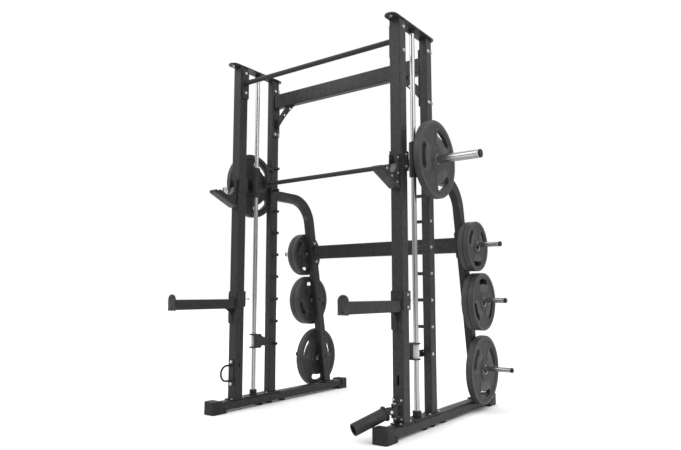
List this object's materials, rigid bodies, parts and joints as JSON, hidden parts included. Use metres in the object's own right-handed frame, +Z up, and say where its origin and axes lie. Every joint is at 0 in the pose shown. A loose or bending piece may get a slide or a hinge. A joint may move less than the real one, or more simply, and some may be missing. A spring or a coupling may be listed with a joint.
{
  "type": "smith machine",
  "caption": "Rack with a barbell guided on two upright rods, lockout pegs, safety stops, cups, spotter arms, plate storage pins and a landmine holder",
  "frame": {"origin": "centre of the bounding box in plan, on the floor", "axes": "+X to the right seen from the front, +Y from the front feet to the storage arms, +Z up"},
  "size_m": [2.062, 1.752, 2.342],
  "materials": {
    "frame_paint": "satin charcoal powder coat",
    "chrome": "hard chrome, polished",
    "zinc": "bright zinc plating",
    "black_plastic": "moulded, fine texture",
    "soft_rubber": "matt",
    "plate_rubber": "rubber coated, dull sheen",
    "bearing_steel": "ground",
    "light_plastic": "light grey polymer, smooth"
  },
  "bodies": {
    "rack": {"arm_end_plates": "frame_paint", "base_rails": "frame_paint", "beam_flanges": "frame_paint", "clamp_bolts": "zinc", "corner_gussets": "frame_paint", "foot_plates": "frame_paint", "frame_bolts": "zinc", "front_feet": "black_plastic", "front_upright_left": "frame_paint", "front_upright_right": "frame_paint", "guide_rods": "chrome", "j_cup_liners": "light_plastic", "j_cups": "frame_paint", "landmine_bolts": "zinc", "landmine_bracket": "frame_paint", "lockout_pegs": "frame_paint", "lower_cross_beam": "frame_paint", "peg_bolts": "zinc", "pin_caps": "black_plastic", "post_clamps": "frame_paint", "pull_up_bar": "frame_paint", "pull_up_flanges": "frame_paint", "rail_pads": "soft_rubber", "rear_feet": "black_plastic", "rear_top_beam": "frame_paint", "rear_uprights": "frame_paint", "ring_bolts": "zinc", "ring_handle": "frame_paint", "rod_buffers": "soft_rubber", "rod_sockets": "frame_paint", "spotter_arm_left": "frame_paint", "spotter_arm_right": "frame_paint", "storage_arms": "frame_paint", "storage_pins": "chrome", "top_plates": "frame_paint"},
    "carriages": {"carriage_tubes": "frame_paint", "linear_bearings": "bearing_steel", "bar_housings": "frame_paint"},
    "bar": {"smith_bar": "frame_paint", "bar_hooks": "frame_paint", "bar_sleeves": "chrome", "sleeve_collars": "frame_paint", "sleeve_caps": "black_plastic"},
    "landmine_yaw_block": {"landmine_swivel": "frame_paint", "landmine_pitch_pin": "zinc"},
    "landmine_holder": {"landmine_tube": "frame_paint"},
    "bar_load_left": {"bar_weight_left": "plate_rubber"},
    "upper_load_left": {"upper_weights_left": "plate_rubber"},
    "middle_load_left": {"middle_weights_left": "plate_rubber"},
    "lower_load_left": {"lower_weights_left": "plate_rubber"},
    "stop_left": {"safety_stop_left": "frame_paint", "stop_bush_left": "light_plastic"},
    "lock_pin_body_left": {"lock_pin_left": "zinc"},
    "bar_load_right": {"bar_weight_right": "plate_rubber"},
    "upper_load_right": {"upper_weights_right": "plate_rubber"},
    "middle_load_right": {"middle_weights_right": "plate_rubber"},
    "lower_load_right": {"lower_weights_right": "plate_rubber"},
    "stop_right": {"safety_stop_right": "frame_paint", "stop_bush_right": "light_plastic"},
    "lock_pin_body_right": {"lock_pin_right": "zinc"}
  },
  "joints": [
    {"name": "carriage_travel", "type": "slide", "parent": "rack", "child": "carriages", "axis": [0, 0, 1], "range_m": [-0.9375, 0.65]},
    {"name": "bar_turn", "type": "hinge", "parent": "carriages", "child": "bar", "pos_m": [0, -0.1044, 1.5395], "axis": [1, 0, 0], "range_deg": [-100, 20]},
    {"name": "landmine_swing", "type": "hinge", "parent": "rack", "child": "landmine_yaw_block", "pos_m": [0.636, -0.411, 0.147], "axis": [0, 0, 1], "range_deg": [-50, 0]},
    {"name": "landmine_tilt", "type": "hinge", "parent": "landmine_yaw_block", "child": "landmine_holder", "pos_m": [0.62147, -0.43951, 0.147], "axis": [-0.891, 0.454, 0], "range_deg": [0, 45]},
    {"name": "bar_load_slide_left", "type": "slide", "parent": "bar", "child": "bar_load_left", "axis": [-1, 0, 0], "range_m": [0, 0.31]},
    {"name": "upper_load_slide_left", "type": "slide", "parent": "rack", "child": "upper_load_left", "axis": [-1, 0, 0], "range_m": [0, 0.235]},
    {"name": "middle_load_slide_left", "type": "slide", "parent": "rack", "child": "middle_load_left", "axis": [-1, 0, 0], "range_m": [0, 0.235]},
    {"name": "lower_load_slide_left", "type": "slide", "parent": "rack", "child": "lower_load_left", "axis": [-1, 0, 0], "range_m": [0, 0.235]},
    {"name": "stop_swing_left", "type": "hinge", "parent": "rack", "child": "stop_left", "pos_m": [-0.636, -0.168, 0.438], "axis": [0, 0, -1], "range_deg": [0, 70]},
    {"name": "lock_pin_pull_left", "type": "slide", "parent": "rack", "child": "lock_pin_body_left", "axis": [0, 1, 0], "range_m": [0, 0.012], "stiffness_N_per_m": 600, "springref_m": -0.008},
    {"name": "bar_load_slide_right", "type": "slide", "parent": "bar", "child": "bar_load_right", "axis": [1, 0, 0], "range_m": [0, 0.31]},
    {"name": "upper_load_slide_right", "type": "slide", "parent": "rack", "child": "upper_load_right", "axis": [1, 0, 0], "range_m": [0, 0.235]},
    {"name": "middle_load_slide_right", "type": "slide", "parent": "rack", "child": "middle_load_right", "axis": [1, 0, 0], "range_m": [0, 0.235]},
    {"name": "lower_load_slide_right", "type": "slide", "parent": "rack", "child": "lower_load_right", "axis": [1, 0, 0], "range_m": [0, 0.235]},
    {"name": "stop_swing_right", "type": "hinge", "parent": "rack", "child": "stop_right", "pos_m": [0.636, -0.168, 0.438], "axis": [0, 0, 1], "range_deg": [0, 70]},
    {"name": "lock_pin_pull_right", "type": "slide", "parent": "rack", "child": "lock_pin_body_right", "axis": [0, 1, 0], "range_m": [0, 0.012], "stiffness_N_per_m": 600, "springref_m": -0.008}
  ]
}
